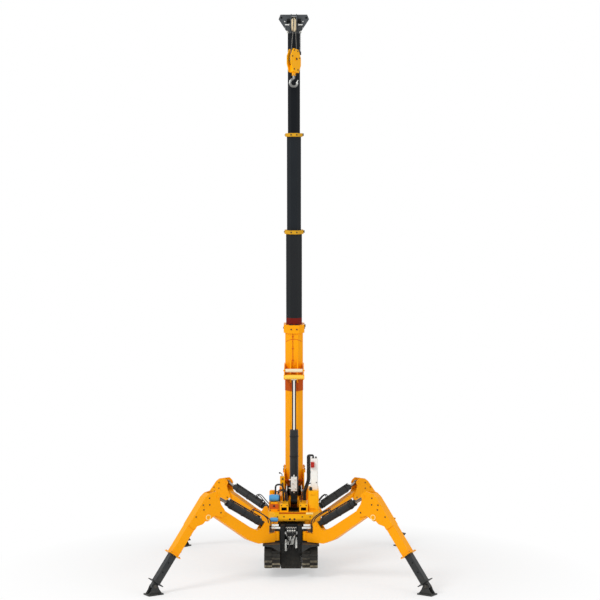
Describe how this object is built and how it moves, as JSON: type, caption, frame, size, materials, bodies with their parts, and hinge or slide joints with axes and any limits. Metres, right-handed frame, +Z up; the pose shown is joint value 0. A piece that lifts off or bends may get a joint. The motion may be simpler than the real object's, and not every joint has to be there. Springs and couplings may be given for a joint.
{
  "type": "tracked spider crane",
  "caption": "Compact crane on rubber tracks with hinged outriggers, a slewing turret and a telescopic boom with a hook block.",
  "frame": {"origin": "on the ground, in the middle of the four foot plates", "axes": "+Z up, -Y towards the front where the boom leans, +X to the right as seen from the front"},
  "size_m": [4.128, 4.1202, 8.6023],
  "materials": {
    "orange_paint": "gloss",
    "dark_paint": "satin",
    "yellow_paint": "gloss",
    "blue_paint": "gloss",
    "red_plastic": "gloss",
    "pale_paint": "satin",
    "track_rubber": "matte",
    "hose_rubber": "matte",
    "black_steel": "satin",
    "bright_steel": "brushed",
    "chrome_rod": "polished",
    "cast_grey": "cast",
    "gold_nylon": "satin"
  },
  "bodies": {
    "undercarriage": {"undercarriage_frame": "dark_paint", "track_left": "track_rubber", "track_right": "track_rubber", "track_frames": "black_steel", "track_guards": "dark_paint", "front_manifold": "bright_steel", "locking_pins": "bright_steel", "slewing_ring": "bright_steel", "front_hoses": "hose_rubber"},
    "turret": {"turntable": "orange_paint", "boom_column": "orange_paint", "left_box": "orange_paint", "right_box": "orange_paint", "engine_hood": "orange_paint", "engine_block": "cast_grey", "counterweight": "orange_paint", "blue_accumulator": "blue_paint", "control_cabinet": "pale_paint", "stop_box": "red_plastic", "lever_valve": "yellow_paint", "slew_motor": "blue_paint", "turret_hoses": "hose_rubber"},
    "winch": {"winch_drum": "bright_steel"},
    "luff_barrel": {"luff_barrel": "dark_paint", "luff_valve": "pale_paint"},
    "luff_rod": {"luff_rod": "chrome_rod"},
    "boom": {"boom_base": "orange_paint"},
    "section_2": {"boom_section_2": "dark_paint"},
    "section_3": {"boom_section_3": "dark_paint"},
    "section_4": {"boom_section_4": "dark_paint", "boom_head": "dark_paint"},
    "sheave": {"head_sheave": "gold_nylon"},
    "hook_block": {"hook_block": "yellow_paint", "hoist_falls": "bright_steel"},
    "block_sheave": {"block_sheave": "gold_nylon"},
    "hook": {"hook": "cast_grey"},
    "arm_front_left": {"arm_front_left": "orange_paint"},
    "leg_front_left": {"leg_front_left": "orange_paint"},
    "inner_leg_front_left": {"inner_leg_front_left": "dark_paint"},
    "foot_front_left": {"foot_front_left": "dark_paint"},
    "leg_cylinder_front_left": {"leg_cylinder_front_left": "dark_paint"},
    "leg_rod_front_left": {"leg_rod_front_left": "chrome_rod"},
    "arm_front_right": {"arm_front_right": "orange_paint"},
    "leg_front_right": {"leg_front_right": "orange_paint"},
    "inner_leg_front_right": {"inner_leg_front_right": "dark_paint"},
    "foot_front_right": {"foot_front_right": "dark_paint"},
    "leg_cylinder_front_right": {"leg_cylinder_front_right": "dark_paint"},
    "leg_rod_front_right": {"leg_rod_front_right": "chrome_rod"},
    "arm_rear_left": {"arm_rear_left": "orange_paint"},
    "leg_rear_left": {"leg_rear_left": "orange_paint"},
    "inner_leg_rear_left": {"inner_leg_rear_left": "dark_paint"},
    "foot_rear_left": {"foot_rear_left": "dark_paint"},
    "leg_cylinder_rear_left": {"leg_cylinder_rear_left": "dark_paint"},
    "leg_rod_rear_left": {"leg_rod_rear_left": "chrome_rod"},
    "arm_rear_right": {"arm_rear_right": "orange_paint"},
    "leg_rear_right": {"leg_rear_right": "orange_paint"},
    "inner_leg_rear_right": {"inner_leg_rear_right": "dark_paint"},
    "foot_rear_right": {"foot_rear_right": "dark_paint"},
    "leg_cylinder_rear_right": {"leg_cylinder_rear_right": "dark_paint"},
    "leg_rod_rear_right": {"leg_rod_rear_right": "chrome_rod"}
  },
  "joints": [
    {"name": "turret_slew", "type": "hinge", "parent": "undercarriage", "child": "turret", "pos_m": [0.04, 0, 0.813], "axis": [0, 0, 1], "continuous": true},
    {"name": "winch_spin", "type": "hinge", "parent": "turret", "child": "winch", "pos_m": [0.04, 0.33, 1.165], "axis": [1, 0, 0], "continuous": true},
    {"name": "boom_luff", "type": "hinge", "parent": "turret", "child": "boom", "pos_m": [0.04, 0.5, 1.47], "axis": [-1, 0, 0], "range_deg": [-80, 0]},
    {"name": "luff_swing", "type": "hinge", "parent": "turret", "child": "luff_barrel", "pos_m": [0.04, 0.09, 1.04], "axis": [-1, 0, 0], "range_deg": [-80.99, 2]},
    {"name": "luff_extend", "type": "slide", "parent": "luff_barrel", "child": "luff_rod", "axis": [0, -0.0833, 0.9965], "range_m": [-0.773, 0.01]},
    {"name": "boom_run_2", "type": "slide", "parent": "boom", "child": "section_2", "axis": [0, -0.1736, 0.9848], "range_m": [-1.4, 0]},
    {"name": "boom_run_3", "type": "slide", "parent": "section_2", "child": "section_3", "axis": [0, -0.1736, 0.9848], "range_m": [-1.4, 0]},
    {"name": "boom_run_4", "type": "slide", "parent": "section_3", "child": "section_4", "axis": [0, -0.1736, 0.9848], "range_m": [-1.4, 0]},
    {"name": "sheave_spin", "type": "hinge", "parent": "section_4", "child": "sheave", "pos_m": [0.04, -0.94388, 8.41478], "axis": [1, 0, 0], "continuous": true},
    {"name": "hook_swing", "type": "hinge", "parent": "section_4", "child": "hook_block", "pos_m": [0.04, -0.94388, 8.41478], "axis": [1, 0, 0], "range_deg": [-80, 5]},
    {"name": "block_sheave_spin", "type": "hinge", "parent": "hook_block", "child": "block_sheave", "pos_m": [0.04, -0.94388, 7.87478], "axis": [-0.788, 0.6157, 0], "continuous": true},
    {"name": "hook_swivel", "type": "hinge", "parent": "hook_block", "child": "hook", "pos_m": [0.04, -0.94388, 7.67478], "axis": [0, 0, 1], "continuous": true},
    {"name": "arm_swing_front_left", "type": "hinge", "parent": "undercarriage", "child": "arm_front_left", "pos_m": [-0.215, -0.7, 0.62], "axis": [0, 0, 1], "range_deg": [-35, 45]},
    {"name": "leg_fold_front_left", "type": "hinge", "parent": "arm_front_left", "child": "leg_front_left", "pos_m": [-1.24039, -1.43568, 1.01], "axis": [0.5829, -0.8125, 0], "range_deg": [-12, 40]},
    {"name": "leg_reach_front_left", "type": "slide", "parent": "leg_front_left", "child": "inner_leg_front_left", "axis": [-0.4833, -0.3467, -0.8039], "range_m": [-0.3, 0.3]},
    {"name": "foot_tilt_front_left", "type": "hinge", "parent": "inner_leg_front_left", "child": "foot_front_left", "pos_m": [-1.921, -1.924, 0.12], "axis": [0.5829, -0.8125, 0], "range_deg": [-25, 25]},
    {"name": "leg_cylinder_swing_front_left", "type": "hinge", "parent": "arm_front_left", "child": "leg_cylinder_front_left", "pos_m": [-0.41, -0.83991, 0.808], "axis": [0.5829, -0.8125, 0], "range_deg": [-2.14, 4.8]},
    {"name": "leg_rod_slide_front_left", "type": "slide", "parent": "leg_cylinder_front_left", "child": "leg_rod_front_left", "axis": [-0.7052, -0.506, 0.4966], "range_m": [-0.075, 0.225]},
    {"name": "arm_swing_front_right", "type": "hinge", "parent": "undercarriage", "child": "arm_front_right", "pos_m": [0.215, -0.7, 0.62], "axis": [0, 0, -1], "range_deg": [-35, 45]},
    {"name": "leg_fold_front_right", "type": "hinge", "parent": "arm_front_right", "child": "leg_front_right", "pos_m": [1.24039, -1.43568, 1.01], "axis": [0.5829, 0.8125, 0], "range_deg": [-12, 40]},
    {"name": "leg_reach_front_right", "type": "slide", "parent": "leg_front_right", "child": "inner_leg_front_right", "axis": [0.4833, -0.3467, -0.8039], "range_m": [-0.3, 0.3]},
    {"name": "foot_tilt_front_right", "type": "hinge", "parent": "inner_leg_front_right", "child": "foot_front_right", "pos_m": [1.921, -1.924, 0.12], "axis": [0.5829, 0.8125, 0], "range_deg": [-25, 25]},
    {"name": "leg_cylinder_swing_front_right", "type": "hinge", "parent": "arm_front_right", "child": "leg_cylinder_front_right", "pos_m": [0.41, -0.83991, 0.808], "axis": [0.5829, 0.8125, 0], "range_deg": [-2.14, 4.8]},
    {"name": "leg_rod_slide_front_right", "type": "slide", "parent": "leg_cylinder_front_right", "child": "leg_rod_front_right", "axis": [0.7052, -0.506, 0.4966], "range_m": [-0.075, 0.225]},
    {"name": "arm_swing_rear_left", "type": "hinge", "parent": "undercarriage", "child": "arm_rear_left", "pos_m": [-0.215, 0.7, 0.62], "axis": [0, 0, -1], "range_deg": [-35, 45]},
    {"name": "leg_fold_rear_left", "type": "hinge", "parent": "arm_rear_left", "child": "leg_rear_left", "pos_m": [-1.24039, 1.43568, 0.9], "axis": [-0.5829, -0.8125, 0], "range_deg": [-12, 40]},
    {"name": "leg_reach_rear_left", "type": "slide", "parent": "leg_rear_left", "child": "inner_leg_rear_left", "axis": [-0.5203, 0.3733, -0.7681], "range_m": [-0.22, 0.3]},
    {"name": "foot_tilt_rear_left", "type": "hinge", "parent": "inner_leg_rear_left", "child": "foot_rear_left", "pos_m": [-1.921, 1.924, 0.12], "axis": [-0.5829, -0.8125, 0], "range_deg": [-25, 25]},
    {"name": "leg_cylinder_swing_rear_left", "type": "hinge", "parent": "arm_rear_left", "child": "leg_cylinder_rear_left", "pos_m": [-0.41, 0.83991, 0.808], "axis": [-0.5829, -0.8125, 0], "range_deg": [-1.67, 3.23]},
    {"name": "leg_rod_slide_rear_left", "type": "slide", "parent": "leg_cylinder_rear_left", "child": "leg_rod_rear_left", "axis": [-0.7434, 0.5333, 0.4037], "range_m": [-0.077, 0.234]},
    {"name": "arm_swing_rear_right", "type": "hinge", "parent": "undercarriage", "child": "arm_rear_right", "pos_m": [0.215, 0.7, 0.62], "axis": [0, 0, 1], "range_deg": [-35, 45]},
    {"name": "leg_fold_rear_right", "type": "hinge", "parent": "arm_rear_right", "child": "leg_rear_right", "pos_m": [1.24039, 1.43568, 0.9], "axis": [-0.5829, 0.8125, 0], "range_deg": [-12, 40]},
    {"name": "leg_reach_rear_right", "type": "slide", "parent": "leg_rear_right", "child": "inner_leg_rear_right", "axis": [0.5203, 0.3733, -0.7681], "range_m": [-0.22, 0.3]},
    {"name": "foot_tilt_rear_right", "type": "hinge", "parent": "inner_leg_rear_right", "child": "foot_rear_right", "pos_m": [1.921, 1.924, 0.12], "axis": [-0.5829, 0.8125, 0], "range_deg": [-25, 25]},
    {"name": "leg_cylinder_swing_rear_right", "type": "hinge", "parent": "arm_rear_right", "child": "leg_cylinder_rear_right", "pos_m": [0.41, 0.83991, 0.808], "axis": [-0.5829, 0.8125, 0], "range_deg": [-1.67, 3.23]},
    {"name": "leg_rod_slide_rear_right", "type": "slide", "parent": "leg_cylinder_rear_right", "child": "leg_rod_rear_right", "axis": [0.7434, 0.5333, 0.4037], "range_m": [-0.077, 0.234]}
  ],
  "couplings": [
    {"joint": "luff_swing", "follows": "boom_luff", "ratio": 0.98735},
    {"joint": "luff_extend", "follows": "boom_luff", "m_per_rad": 0.5467},
    {"joint": "leg_cylinder_swing_front_left", "follows": "leg_fold_front_left", "ratio": 0.094979},
    {"joint": "leg_rod_slide_front_left", "follows": "leg_fold_front_left", "m_per_rad": 0.3085},
    {"joint": "leg_cylinder_swing_front_right", "follows": "leg_fold_front_right", "ratio": 0.094979},
    {"joint": "leg_rod_slide_front_right", "follows": "leg_fold_front_right", "m_per_rad": 0.3085},
    {"joint": "leg_cylinder_swing_rear_left", "follows": "leg_fold_rear_left", "ratio": 0.055732},
    {"joint": "leg_rod_slide_rear_left", "follows": "leg_fold_rear_left", "m_per_rad": 0.32042},
    {"joint": "leg_cylinder_swing_rear_right", "follows": "leg_fold_rear_right", "ratio": 0.055732},
    {"joint": "leg_rod_slide_rear_right", "follows": "leg_fold_rear_right", "m_per_rad": 0.32042}
  ]
}
